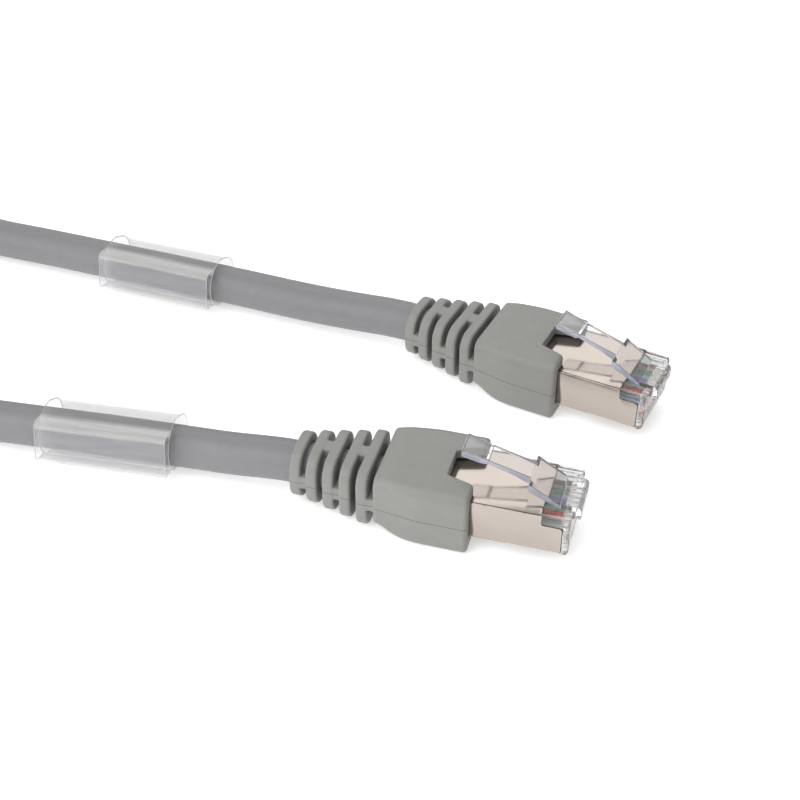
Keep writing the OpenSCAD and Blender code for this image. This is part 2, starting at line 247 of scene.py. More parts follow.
def wire_material(name, color):
    made = material(name, color, 0.4)
    place = mottle(made, color, 0.04, 1500)
    grain(made, place, 5000, 0.3)
    return made


def striped_material(name, color, share):
    """White insulation with soft coloured rings, each a few millimetres long."""
    pale = tuple(WIRE_WHITE[k] * (1 - share) + color[k] * share for k in range(3))
    made = material(name, pale, 0.4)
    place = node(made, "ShaderNodeTexCoord")
    bands = node(made, "ShaderNodeTexWave", Scale=60, Distortion=0.4)
    bands.bands_direction = "X"
    ramp = node(made, "ShaderNodeValToRGB")
    set_ramp(ramp, (0, pale), (1, [0.6 * a + 0.4 * b for a, b in zip(pale, color)]))
    wire_up(made, place, "Object", bands, "Vector")
    wire_up(made, bands, "Color", ramp, "Fac")
    wire_up(made, ramp, "Color", shader_of(made), "Base Color")
    return made


BOOT_GREY = (0.235, 0.235, 0.222)
JACKET_GREY = (0.198, 0.198, 0.207)
SHIELD_METAL = (0.455, 0.402, 0.362)
GRAIN_DEPTH = 0.00002
METAL_GRAIN = 3000
SEAM_HEIGHT, SEAM_HALF_W = 0.005, 0.00009
WIRE_WHITE = (0.8, 0.79, 0.76)
WIRE_COLORS = {"orange": (0.72, 0.08, 0.03), "green": (0.02, 0.35, 0.08),
               "blue": (0.02, 0.09, 0.5), "brown": (0.22, 0.08, 0.03)}
STRIPE_SHARE = 0.4


# ---------------------------------------------------------------- fields: signed distances
# A field is negative inside its shape. Cuts and joins round the edge they make by radius r.
def meet(a, b, r=0.0):
    inner = np.minimum(np.maximum(a, b), -r)
    return inner + np.hypot(np.maximum(a + r, 0), np.maximum(b + r, 0))


def join(a, b, r=0.0):
    return -meet(-a, -b, r)


def cut(a, b, r=0.0):
    return meet(a, -b, r)


def slab(v, low, high):
    return np.abs(v - (low + high) / 2) - (high - low) / 2


def block(p, low, high, r=0.0):
    """Box from corner low to corner high, with edges rounded by r."""
    sides = [slab(v, a, b) + r for v, a, b in zip(p, low, high)]
    outside = np.sqrt(sum(np.maximum(s, 0) ** 2 for s in sides))
    return outside + np.minimum(np.maximum(np.maximum(*sides[:2]), sides[2]), 0) - r


def bar(p, r, z):
    """Endless round bar along X at height z."""
    return np.hypot(p[1], p[2] - z) - r


def rounded_section(y, z, half_w, top, bottom, r_top, r_low):
    """Rounded rectangle across X, with corners of r_top in its upper half and r_low below."""
    middle = (top + bottom) / 2
    r = np.where(z > middle, r_top, r_low)
    side_y = np.abs(y) - half_w + r
    side_z = np.abs(z - middle) - (top - bottom) / 2 + r
    outside = np.hypot(np.maximum(side_y, 0), np.maximum(side_z, 0))
    return outside + np.minimum(np.maximum(side_y, side_z), 0) - r


def outline_field(u, v, points):
    """Signed distance to a closed outline in two of the axes."""
    nearest = np.full(u.shape, 1e9)
    inside = np.zeros(u.shape, bool)
    for (au, av), (bu, bv) in zip(points, points[1:] + points[:1]):
        eu, ev = bu - au, bv - av
        along = np.clip(((u - au) * eu + (v - av) * ev) / (eu * eu + ev * ev), 0, 1)
        nearest = np.minimum(nearest, np.hypot(u - au - along * eu, v - av - along * ev))
        if ev != 0:
            inside ^= ((av > v) != (bv > v)) & (u < au + (v - av) * eu / ev)
    return np.where(inside, -nearest, nearest)


def ease(t):
    """Smooth step from 0 to 1."""
    t = np.clip(t, 0, 1)
    return t * t * (3 - 2 * t)


def settle(points, field, step):
    """Moves points onto the field's surface along its slope, in two rounds."""
    small = 0.25 * step
    for _ in range(2):
        value = field(points.T)
        slope = np.stack([(field((points + d).T) - field((points - d).T)) / (2 * small)
                          for d in small * np.eye(3)], 1)
        size = np.maximum((slope ** 2).sum(1), 0.1)
        points = points - np.clip(value / size, -0.5 * step, 0.5 * step)[:, None] * slope
    return points


def surface(field, low, high, step):
    """Points and quads of the closed surface where the field is zero, by surface nets."""
    low = np.array(low, float) - 2 * step
    axes = [np.arange(a, b + 2 * step, step) for a, b in zip(low, high)]
    value = field(np.meshgrid(*axes, indexing="ij"))
    inside = value < 0
    shape = np.array(inside.shape) - 1
    corners = np.array([(i, j, k) for i in (0, 1) for j in (0, 1) for k in (0, 1)])

    def shifted(c):
        return inside[c[0]:shape[0] + c[0], c[1]:shape[1] + c[1], c[2]:shape[2] + c[2]]

    filled = sum(shifted(c).astype(np.int8) for c in corners)
    mixed = (filled > 0) & (filled < 8)
    cells = np.argwhere(mixed)
    number = np.full(mixed.shape, -1)
    number[mixed] = np.arange(len(cells))
    total = np.zeros(cells.shape)
    count = np.zeros(len(cells))
    for a in corners:
        for b in a + np.eye(3, dtype=int):
            if b.max() > 1:
                continue
            at_a = value[tuple((cells + a).T)]
            at_b = value[tuple((cells + b).T)]
            crossed = (at_a < 0) != (at_b < 0)
            share = np.where(crossed, at_a / np.where(crossed, at_a - at_b, 1), 0)
            total += crossed[:, None] * (a + share[:, None] * (b - a))
            count += crossed
    points = low + step * (cells + total / count[:, None])
    quads = []
    for axis in range(3):
        along, u, v = (np.eye(3, dtype=int)[(axis + k) % 3] for k in range(3))
        start = inside[tuple(slice(0, n - k) for n, k in zip(inside.shape, along))]
        end = inside[tuple(slice(k, n) for n, k in zip(inside.shape, along))]
        for order, edges in ((1, start & ~end), (-1, ~start & end)):
            at = np.argwhere(edges)
            ring = [number[tuple((at - s).T)] for s in (u + v, v, 0 * u, u)]
            quads.append(np.stack(ring[::order], 1))
    return settle(points, field, step), np.concatenate(quads)


# ---------------------------------------------------------------- meshes
BEVELLED_ANGLE = 40


def add_object(name, mesh, look, place=None):
    if place is not None:
        mesh.transform(place)
    piece = bpy.data.objects.new(name, mesh)
    bpy.context.collection.objects.link(piece)
    mesh.materials.append(look)
    mesh.polygons.foreach_set("use_smooth", [True] * len(mesh.polygons))
    return piece


def mesh_of(name, points, faces):
    mesh = bpy.data.meshes.new(name)
    mesh.from_pydata([tuple(p) for p in points], [], [tuple(int(i) for i in f) for f in faces])
    mesh.update()
    return mesh


def prism(outline, low, high, lift=lambda u, v, w: (u, v, w)):
    """Points and faces of an outline drawn in u, v and extruded along w from low to high."""
    n = len(outline)
    points = [lift(u, v, w) for w in (low, high) for u, v in outline]
    faces = [(k, (k + 1) % n, n + (k + 1) % n, n + k) for k in range(n)]
    return points, faces + [tuple(range(n - 1, -1, -1)), tuple(range(n, 2 * n))]


def hollow_prism(outer, holes, low, high, lift):
    """The same with holes: ends are filled between the outline and its holes."""
    loops = [outer] + holes
    flat = [p for loop in loops for p in loop]
    n = len(flat)
    points = [lift(u, v, w) for w in (low, high) for u, v in flat]
    faces = []
    first = 0
    for loop in loops:
        size = len(loop)
        for k in range(size):
            a, b = first + k, first + (k + 1) % size
            faces.append((a, b, n + b, n + a) if loop is outer else (b, a, n + a, n + b))
        first += size
    for tri in tessellate_polygon([[Vector((u, v, 0)) for u, v in loop] for loop in loops]):
        (au, av), (bu, bv), (cu, cv) = (flat[i] for i in tri)
        if (bu - au) * (cv - av) - (bv - av) * (cu - au) < 0:
            tri = tri[::-1]
        faces.append(tuple(n + i for i in tri))
        faces.append(tuple(tri[::-1]))
    return points, faces


def combine(parts):
    points, faces = [], []
    for p, f in parts:
        faces += [tuple(i + len(points) for i in face) for face in f]
        points += list(p)
    return points, faces


def arc(cu, cv, r, start, end, steps):
    """Points on an arc round (cu, cv), from angle start to angle end in degrees."""
    turns = [math.radians(start + (end - start) * i / steps) for i in range(steps + 1)]
    return [(cu + r * math.cos(a), cv + r * math.sin(a)) for a in turns]


def bevelled(piece, width):
    edge = piece.modifiers.new("edges", "BEVEL")
    edge.width = width
    edge.segments = 2
    edge.limit_method = "ANGLE"
    edge.angle_limit = math.radians(BEVELLED_ANGLE)
    edge.harden_normals = False
    return piece


# ---------------------------------------------------------------- cable
CABLE_D = 0.0065
# The route's points, in metres, from each boot to the hank
ROUTE_A = [(-0.0253, -0.0175, 0.005), (-0.0275, -0.0175, 0.00498), (-0.031, -0.01765, 0.0048),
           (-0.036, -0.0178, 0.0044), (-0.041, -0.0178, 0.0041), (-0.045, -0.01795, 0.004),
           (-0.055, -0.0186, 0.004), (-0.065, -0.01945, 0.004), (-0.075, -0.0203, 0.004),
           (-0.085, -0.02115, 0.0039), (-0.095, -0.0219, 0.0038), (-0.105, -0.0225, 0.00375),
           (-0.115, -0.0229, 0.00375), (-0.125, -0.02315, 0.00375), (-0.134, -0.02325, 0.00375),
           (-0.144, -0.02325, 0.00375)]
ROUTE_B = [(-0.0176, 0.0208, 0.005), (-0.0196, 0.02118, 0.00498), (-0.0235, 0.02165, 0.0048),
           (-0.028, 0.022, 0.0045), (-0.035, 0.02255, 0.0042), (-0.042, 0.0232, 0.00405),
           (-0.05, 0.02395, 0.004), (-0.0642, 0.0249, 0.004), (-0.077, 0.0257, 0.004),
           (-0.088, 0.0264, 0.00395), (-0.097, 0.0269, 0.0039), (-0.104, 0.0273, 0.0043),
           (-0.111, 0.02765, 0.0057), (-0.118, 0.0281, 0.008), (-0.125, 0.02855, 0.01),
           (-0.131, 0.02885, 0.0106), (-0.137, 0.02898, 0.0102), (-0.144, 0.029, 0.0094)]
SLEEVE_POINT = {"a": ROUTE_A[6], "b": ROUTE_B[7]}
# The hank: its round ends' middles, and each turn's radius and height
HANK_X, HANK_Y, RUN = -0.144, 0.0045, 0.049
TURNS = [(0.02775, 0.00375), (0.02125, 0.00375), (0.0245, 0.0094)]
HANK_HUMP = 0.0013
WAIT_UP, WAIT_IN, CLIMB_SHARE = 0.2, 0.35, 0.8
TURN_STEPS, RUN_STEPS, CURVE_STEPS = 14, 4, 6


def hank_run(side, r, z):
    """Points between a run's two ends: side -1 is the near run, which goes to -X."""
    shares = [i / RUN_STEPS for i in range(1, RUN_STEPS)]
    if side > 0:
        shares = shares[::-1]
    return [(HANK_X - RUN * s, HANK_Y + side * r, z) for s in shares]


def hank_points():
    points = []
    for turn, (r, z) in enumerate(TURNS):
        points += hank_run(-1, r, z)
        for i in range(TURN_STEPS + 1):
            a = math.radians(270 - 180 * i / TURN_STEPS)
            points.append((HANK_X - RUN + r * math.cos(a), HANK_Y + r * math.sin(a), z))
        points += hank_run(1, r, z)
        if turn + 1 == len(TURNS):
            continue
        next_r, next_z = TURNS[turn + 1]
        wait = WAIT_UP if next_z > z else WAIT_IN
        for i in range(TURN_STEPS + 1):
            t = i / TURN_STEPS
            a = math.radians(90 - 180 * t)
            now_r = r + (next_r - r) * ease((t - wait) / (1 - wait))
            now_z = z + (next_z - z) * ease(t / CLIMB_SHARE)
            if next_z > z:
                hump = min(1, max(0, (t - WAIT_UP) / (1 - WAIT_UP)))
                now_z += HANK_HUMP * math.sin(math.pi * hump)
            points.append((HANK_X + now_r * math.cos(a), HANK_Y + now_r * math.sin(a), now_z))
    return points


def smooth_route(points):
    """Catmull-Rom curve through the points."""
    p = [np.array(q, float) for q in points]
    p = [2 * p[0] - p[1]] + p + [2 * p[-1] - p[-2]]
    route = []
    for a, b, c, d in zip(p, p[1:], p[2:], p[3:]):
        for i in range(CURVE_STEPS):
            t = i / CURVE_STEPS
            route.append(0.5 * (2 * b + (c - a) * t + (2 * a - 5 * b + 4 * c - d) * t * t
                                + (3 * b - a - 3 * c + d) * t ** 3))
    return route + [p[-2]]


def make_cable(look):
    data = bpy.data.curves.new("cable", "CURVE")
    data.dimensions = "3D"
    data.bevel_depth = CABLE_D / 2
    data.bevel_resolution = 8
    data.use_fill_caps = True
    route = smooth_route(ROUTE_A + hank_points() + ROUTE_B[::-1])
    spline = data.splines.new("POLY")
    spline.points.add(len(route) - 1)
    for point, place in zip(spline.points, route):
        point.co = (*place, 1)
    spline.use_smooth = True
    cable = bpy.data.objects.new("patch_cable", data)
    bpy.context.collection.objects.link(cable)
    data.materials.append(look)
    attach(cable, "cable")
    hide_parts("lead_a", "lead_b", "cable_hank")
    return cable


# ---------------------------------------------------------------- boot
BODY_REAR, BODY_FRONT = -28.6, -14.4
REAR_HALF_W, FRONT_HALF_W = 6.8, 7.6
ROOF, FLOOR = 8.4, -2.3
AXIS_Z = 2.7
RINGS, RING_PITCH, RING_T = 5, 2.7, 1.75
RING_HALF_W, RING_GROWS_W = 4.5, 1.9
RING_HALF_H, RING_GROWS_H = 4.4, 0.6
RING_CORNER = 3.4
BRIDGE_HALF = 1.1
ROOF_CORNER, FLOOR_CORNER = 1.7, 1.2
NOTCH_REAR, NOTCH_REAR_HALF, NOTCH_FRONT_HALF = -18.5, 2.7, 3.9
NOTCH_SLANT = 0.96
BOOT_REAR = BODY_REAR - RINGS * RING_PITCH
BODY_WIDENS, ROOF_RISES, FLOOR_FALLS = 7.5, 3.5, 6
ROOF_RISE, FLOOR_FALL = 0.4, 1.7
BODY_FRONT_R, BODY_REAR_R = 0.6, 0.55
BRIDGE_START = 0.8
RIM_R = 0.15
FIT = 0.1
BOOT_CELL, HOUSING_CELL, LATCH_CELL = 0.18, 0.125, 0.11
PLUG_HALF_W, PLUG_H, PLUG_LEN = 5.85, 6.6, 21.4
CABLE_R = CABLE_D / 2 / MM
COLLAR_R = CABLE_R + 0.39


def boot_body_field(p):
    x, y, z = p
    back = x - BODY_REAR
    half_w = REAR_HALF_W + (FRONT_HALF_W - REAR_HALF_W) * ease(back / BODY_WIDENS)
    top = ROOF - ROOF_RISE * (1 - ease(back / ROOF_RISES)) ** 2
    bottom = FLOOR + FLOOR_FALL * (1 - ease(back / FLOOR_FALLS)) ** 2
    section = rounded_section(y, z, half_w, top, bottom, ROOF_CORNER, FLOOR_CORNER)
    return meet(meet(section, x - BODY_FRONT, BODY_FRONT_R), BODY_REAR - x, BODY_REAR_R)


def ring_field(p, i):
    x, y, z = p
    t = i / (RINGS - 1)
    half_w = RING_HALF_W + RING_GROWS_W * t
    half_h = RING_HALF_H + RING_GROWS_H * t
    section = rounded_section(y, z, half_w, AXIS_Z + half_h, AXIS_Z - half_h,
                              RING_CORNER - t, RING_CORNER - t)
    start = BOOT_REAR + i * RING_PITCH
    ring = meet(section, slab(x, start, start + RING_T), 0.4)
    low, high = AXIS_Z - BRIDGE_HALF, AXIS_Z + BRIDGE_HALF
    across = slab(z, low, high) if i % 2 == 0 else slab(y, -BRIDGE_HALF, BRIDGE_HALF)
    bridge = meet(section + 0.05, across, 0.25)
    bridge = meet(bridge, slab(x, start + BRIDGE_START, start + BRIDGE_START + RING_PITCH))
    return join(ring, bridge, 0.2)


def boot_field(p):
    x, y, z = p
    whole = boot_body_field(p)
    for i in range(RINGS):
        whole = join(whole, ring_field(p, i), RIM_R)
    pocket = block(p, (-PLUG_LEN - 0.6, -PLUG_HALF_W - FIT, -FIT),
                   (0, PLUG_HALF_W + FIT, PLUG_H + FIT), 0.3)
    collar_room = meet(bar(p, COLLAR_R + FIT, AXIS_Z), slab(x, BODY_REAR + 0.6, 0))
    whole = cut(whole, join(pocket, collar_room), RIM_R)
    whole = cut(whole, meet(bar(p, CABLE_R + 0.04, AXIS_Z), x + PLUG_LEN), 0.12)
    share = (x - NOTCH_REAR) / (BODY_FRONT - NOTCH_REAR)
    notch_half = NOTCH_REAR_HALF + (NOTCH_FRONT_HALF - NOTCH_REAR_HALF) * share
    notch = meet((np.abs(y) - notch_half) * NOTCH_SLANT, NOTCH_REAR - x, RIM_R)
    notch = meet(notch, PLUG_H - z)
    return cut(whole, notch, RIM_R)


def boot_mesh():
    points, faces = surface(boot_field, (BOOT_REAR, -FRONT_HALF_W, FLOOR),
                            (BODY_FRONT, FRONT_HALF_W, ROOF), BOOT_CELL)
    return mesh_of("boot", points, faces)


# ---------------------------------------------------------------- clear body of the plug
PITCH = 1.02
ROW_Z = 3.2
WIRE_R = 0.47
TOP_EDGE, SIDE_EDGE = -4.3, -1.1
SIDE_PLATE_H = 4.93
SHEET = 0.25
RIM = 0.12
LATCH_HALF_W = 3.2
CAVITY_HALF_W, CAVITY_FRONT, CAVITY_STEP = 4.75, -5.2, -13.2
ROOM_BELOW_ROW, ROOM_OVER_ROW = 1.2, 1.3
REAR_CAVITY_LOW, REAR_CAVITY_TOP = 0.52, 5.4
SLOT_HALF_W, SLOT_REAR = 0.25, -6.2
ROOT_REAR, ROOT_FRONT, ROOT_LOW, ROOT_TOP = -2.05, 1.1, 4.9, 7.25
NOSE_DROP, NOSE_LOW_R, NOSE_SIDE_R = 0.5, 0.7, 0.5
RAIL_IN, RAIL_OUT, RAIL_LOW = 5.05, 5.75, 5.2
CORE_TOP = 6.3
CHANNEL_REAR, CHANNEL_FRONT = -5.3, -1.45
AIR = 0.02


def housing_field(p):
    x, y, z = p
    nose = block(p, (TOP_EDGE + AIR, -PLUG_HALF_W, 0), (0, PLUG_HALF_W, PLUG_H - NOSE_DROP), 0.12)
    nose = meet(nose, np.hypot(np.maximum(x + NOSE_LOW_R, 0),
                               np.maximum(NOSE_LOW_R - z, 0)) - NOSE_LOW_R)
    beside = np.abs(y) - PLUG_HALF_W + NOSE_SIDE_R
    nose = meet(nose, np.hypot(np.maximum(x + NOSE_SIDE_R, 0),
                               np.maximum(beside, 0)) - NOSE_SIDE_R)
    rail = block((x, np.abs(y), z), (TOP_EDGE + 0.05, RAIL_IN, RAIL_LOW),
                 (-0.1, RAIL_OUT, PLUG_H), 0.2)
    core_half = PLUG_HALF_W - SHEET - AIR
    core = block(p, (-PLUG_LEN, -core_half, SHEET + AIR), (TOP_EDGE + 0.1, core_half, CORE_TOP),
                 0.1)
    root = meet(block(p, (ROOT_REAR, -LATCH_HALF_W, ROOT_LOW),
                      (ROOT_FRONT, LATCH_HALF_W, ROOT_TOP), 0.1),
                np.hypot(np.maximum(x - ROOT_FRONT + 1, 0), np.maximum(z - ROOT_TOP + 1, 0)) - 1,
                0.1)
    whole = join(join(join(nose, rail, 0.2), core), root, 0.3)
    recess = meet(slab(x, TOP_EDGE - 1, SIDE_EDGE + RIM), z - SIDE_PLATE_H - RIM)
    recess = meet(recess, core_half - np.abs(y))
    whole = cut(whole, recess)
    whole = cut(whole, block(p, (CAVITY_STEP, -CAVITY_HALF_W, ROW_Z - ROOM_BELOW_ROW),
                             (CAVITY_FRONT, CAVITY_HALF_W, ROW_Z + ROOM_OVER_ROW)))
    whole = cut(whole, block(p, (-PLUG_LEN - 1, -CAVITY_HALF_W, REAR_CAVITY_LOW),
                             (CAVITY_STEP + 0.1, CAVITY_HALF_W, REAR_CAVITY_TOP)))
    to_wire = np.abs(y - PITCH * (np.clip(np.floor(y / PITCH), -4, 3) + 0.5))
    slots = meet(meet(to_wire - SLOT_HALF_W, z - ROW_Z + 0.4), SLOT_REAR - x)
    channels = meet(np.hypot(to_wire, z - ROW_Z) - WIRE_R + 0.02,
                    slab(x, CHANNEL_REAR, CHANNEL_FRONT))
    return cut(cut(whole, slots, 0.05), channels)


def housing_mesh():
    points, faces = surface(housing_field, (-PLUG_LEN, -PLUG_HALF_W, 0),
                            (ROOT_FRONT, PLUG_HALF_W, ROOT_TOP + 0.05), HOUSING_CELL)
    return mesh_of("plug_housing", points, faces)


# ---------------------------------------------------------------- latch
HINGE_X = -2.5
SHOULDER_X = -6.7
PAD_X, TIP_X = -13.2, -16.8
TAIL_HALF_W, PAD_HALF_W = 1.8, 2.1


def latch_field(p):
    x, y, z = p
    side = [(HINGE_X + 0.4, 6.55), (HINGE_X + 0.38, 7.05), (HINGE_X + 0.1, 7.2),
            (SHOULDER_X, 9.85), (PAD_X, 11.7), (TIP_X, 12.65), (TIP_X, 11.6),
            (PAD_X - 0.3, 10.65), (PAD_X + 0.2, 10.9), (-9, 9.55),
            (SHOULDER_X, 8.45), (HINGE_X - 0.1, 6.42), (HINGE_X + 0.2, 6.42)]
    plan = [(HINGE_X + 0.5, LATCH_HALF_W), (HINGE_X + 0.5, -LATCH_HALF_W),
            (SHOULDER_X, -LATCH_HALF_W - 0.1), (SHOULDER_X, -TAIL_HALF_W),
            (PAD_X, -TAIL_HALF_W), (TIP_X, -PAD_HALF_W), (TIP_X, PAD_HALF_W),
            (PAD_X, TAIL_HALF_W), (SHOULDER_X, TAIL_HALF_W), (SHOULDER_X, LATCH_HALF_W + 0.1)]
    return meet(outline_field(x, z, side), outline_field(x, y, plan), 0.12)


def latch_mesh():
    points, faces = surface(latch_field, (TIP_X, -3.4, 6.3), (-2, 3.4, 12.7), LATCH_CELL)
    mesh = mesh_of("latch", points, faces)
    # Faces that look sideways take the second material, a darker, bluer copy of the clear latch: painted shade on
    # its sides.
    for face in mesh.polygons:
        face.material_index = int(abs(face.normal.y) > 0.9)
    return mesh


# ---------------------------------------------------------------- shield
SLIT = 0.16
SHEET_EDGE_R = 0.3
PLATE_CORNER = 0.5
BOTTOM_FRONT = -8.5
COLLAR_REAR = -27.5
RING_STEPS = 47


def top_plate():
    half = PLUG_HALF_W - SHEET - SLIT
    r = SHEET_EDGE_R
    outline = [(-PLUG_LEN, -half), (TOP_EDGE - r, -half), (TOP_EDGE, -half + r),
               (TOP_EDGE, half - r), (TOP_EDGE - r, half), (-PLUG_LEN, half)]
    return prism(outline, PLUG_H - SHEET, PLUG_H)


def front_line(grow=0.0):
    """Front edge of a side plate with its step, from top to bottom; grow moves it out."""
    front, step, low = SIDE_EDGE + grow, SIDE_PLATE_H + grow, SHEET_EDGE_R - grow
    line = [(TOP_EDGE + 0.2 + grow, PLUG_H)]
    line += arc(TOP_EDGE + 0.5 + grow, step + 0.3, 0.3, 180, 270, 4)
    line += arc(front - PLATE_CORNER, step - PLATE_CORNER, PLATE_CORNER, 90, 0, 4)
    return line + arc(front - 0.4, low + 0.4, 0.4, 0, -90, 4)


def side_sheet(side, outline, low, high):
    """Outline drawn in X and Z, with its faces at Y low and high on the given side."""
    points, faces = prism(outline, low, high, lambda u, v, w: (u, side * w, v))
    return points, [f[::-1] for f in faces] if side < 0 else faces


def side_plate(side):
    start = (-PLUG_LEN, SHEET_EDGE_R)
    end = (BOTTOM_FRONT - PLATE_CORNER, SHEET_EDGE_R)
    outline = [start, (-PLUG_LEN, PLUG_H)] + front_line() + [end]
    return side_sheet(side, outline, PLUG_HALF_W - SHEET, PLUG_HALF_W)


def painted_gap_shade_strips():
    """Near-black strips of painted shade in the gaps of the folded sheet: round each side plate and beside the top
    plate.
    """
    parts = []
    for side in (-1, 1):
        parts.append(side_sheet(side, front_line(RIM - 0.02) + front_line(-0.04)[::-1],
                                PLUG_HALF_W - SHEET - 0.01, PLUG_HALF_W - 0.1))
        strip = [(-PLUG_LEN, PLUG_H - 0.22), (TOP_EDGE, PLUG_H - 0.22), (TOP_EDGE, PLUG_H - 0.1),
                 (-PLUG_LEN, PLUG_H - 0.1)]
        parts.append(side_sheet(side, strip[::-1], PLUG_HALF_W - SHEET - SLIT - 0.02,
                                PLUG_HALF_W - SHEET + 0.02))
    return parts


def bottom_bend(side):
    """Quarter round strip between a side plate and the bottom plate."""
    r = SHEET_EDGE_R
    outer = arc(PLUG_HALF_W - r, r, r, 0, -90, 5)
    inner = arc(PLUG_HALF_W - r, r, r - SHEET, -90, 0, 5)
    return prism(outer + inner, -PLUG_LEN, BOTTOM_FRONT - PLATE_CORNER,
                 lambda u, v, w: (w, side * u, v))


def bottom_plate():
    half = PLUG_HALF_W - SHEET_EDGE_R
    front, corner = BOTTOM_FRONT, PLATE_CORNER
    outline = [(-PLUG_LEN, -half), (front - corner, -half), (front, -half + corner),
               (front, half - corner), (front - corner, half), (-PLUG_LEN, half)]
    return prism(outline, 0, SHEET)


def ring(z, r):
    """Closed circle round the cable's axis, without a doubled last point."""
    return arc(0, z, r, 0, 360 * RING_STEPS / (RING_STEPS + 1), RING_STEPS)


def rear_wall():
    outline = [(-PLUG_HALF_W, 0), (PLUG_HALF_W, 0), (PLUG_HALF_W, PLUG_H), (-PLUG_HALF_W, PLUG_H)]
    hole = ring(AXIS_Z, COLLAR_R - SHEET)
    return hollow_prism(outline, [hole], -PLUG_LEN - SHEET, -PLUG_LEN, lambda u, v, w: (w, u, v))


def collar():
    outer, inner = ring(AXIS_Z, COLLAR_R), ring(AXIS_Z, COLLAR_R - SHEET)
    return hollow_prism(outer, [inner], COLLAR_REAR, -PLUG_LEN - 0.1, lambda u, v, w: (w, u, v))


def shield_mesh():
    parts = [top_plate(), bottom_plate(), rear_wall(), collar()]
    for side in (-1, 1):
        parts += [side_plate(side), bottom_bend(side)]
    plain = sum(len(faces) for _, faces in parts)
    mesh = mesh_of("shield", *combine(parts + painted_gap_shade_strips()))
    # The strips after the plain sheet take the near-black second material, painted shade in the gaps.
    for face in mesh.polygons[plain:]:
        face.material_index = 1
    return mesh


# ---------------------------------------------------------------- label sleeve
SLEEVE_LEN = 20.5
SLEEVE_R, SLEEVE_BORE = 4.3, 4.0
FAR_Y, FAR_DROP = 1.8, 0.5
POCKET_OUT, POCKET_HALF, POCKET_WALL = 5.9, 3.4, 0.3
POCKET_ROOT, POCKET_CORNER = 2.6, 1.0
POCKET_UP = {"a": 14, "b": 12}
SLEEVE_LIFT = 0.0003


def sleeve_place(end):
    """Matrix from the sleeve's own frame, X along the cable and pocket on -Y, to the row frame."""
    x = Vector(JOINTS[f"sleeve_{end}_slide"]["axis"]).normalized()
    z = Vector((0, 0, 1))
    turn = Matrix((x, z.cross(x), z)).transposed().to_4x4()
    tilt = Matrix.Rotation(math.radians(-POCKET_UP[end]), 4, "X")
    middle = Vector(SLEEVE_POINT[end]) + Vector((0, 0, SLEEVE_LIFT))
    return Matrix.Translation(middle) @ turn @ tilt @ Matrix.Scale(MM, 4)


def loop_outline(r, start=180, end=-180):
    """Round loop of radius r, drawn out and lower at the far side, with its near part
    from angle start to end."""
    turn = math.degrees(math.acos(FAR_DROP / FAR_Y))
    low = arc(0, 0, r, end, -turn, 28)
    far = arc(FAR_Y, 0, r - FAR_DROP, -turn, turn, 24)
    return low + far + arc(0, 0, r, turn, start, 28)


def sleeve_outlines():
    start = math.degrees(math.atan2(POCKET_HALF, -math.sqrt(SLEEVE_R ** 2 - POCKET_HALF ** 2)))
    r = POCKET_CORNER
    outer = loop_outline(SLEEVE_R, start, -start)
    outer += arc(-POCKET_OUT + r, POCKET_HALF - r, r, 90, 180, 8)
    outer += arc(-POCKET_OUT + r, -POCKET_HALF + r, r, 180, 270, 8)
    bore = loop_outline(SLEEVE_BORE)[1:]
    low_u, high_v, s = -POCKET_OUT + POCKET_WALL, POCKET_HALF - POCKET_WALL, r - POCKET_WALL
    web = math.degrees(math.asin(high_v / SLEEVE_R))
    pocket = arc(low_u + s, high_v - s, s, 90, 180, 8) + arc(low_u + s, s - high_v, s, 180, 270, 8)
    return outer, [bore, pocket + arc(0, 0, SLEEVE_R, 180 + web, 180 - web, 16)]


def sleeve_part(face):
    """Number of a sleeve face's material: cut edge, pocket's folds, its front, or the loop. They are copies of one
    film with painted light and shade: the loop darkest, the pocket's front lighter, the folds lighter still, the
    cut edge a white painted highlight.
    """
    if abs(face.normal.x) > 0.9:
        return 1
    beside = abs(face.center.z) > POCKET_HALF - POCKET_CORNER - 0.05
    if face.center.y < -POCKET_ROOT and beside:
        return 2
    return 3 if face.center.y < -SLEEVE_R - 0.5 else 0


def make_sleeve(end, looks):
    outer, holes = sleeve_outlines()
    half = SLEEVE_LEN / 2
    points, faces = hollow_prism(outer, holes, -half, half, lambda u, v, w: (w, u, v))
    mesh = mesh_of(f"label_sleeve_{end}", points, faces)
    for face in mesh.polygons:
        face.material_index = sleeve_part(face)
    sleeve = add_object(f"clear_sleeve_{end}", mesh, looks["sleeve"], sleeve_place(end))
    # Copies of the one film with painted light: a white painted highlight on the cut edges, lighter folds and a
    # lighter pocket front.
    for part in ("sleeve_edge_painted_highlight", "sleeve_fold_painted_light", "pocket_film_painted_light"):
        mesh.materials.append(looks[part])
    bevelled(sleeve, 0.00005)
    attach(sleeve, f"sleeve_{end}")
    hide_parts(f"label_sleeve_{end}")
    return sleeve


# ---------------------------------------------------------------- ties
TIE_W, TIE_T = 6.0, 0.5


def tie_outline(r):
    """Band pulled round three cords: two below and one on them."""
    low_z, high_z, half = TURNS[0][1] / MM, TURNS[2][1] / MM, CABLE_R
    return (arc(half, low_z, r, -90, 30, 10) + arc(0, high_z, r, 30, 150, 10)
            + arc(-half, low_z, r, 150, 270, 10))


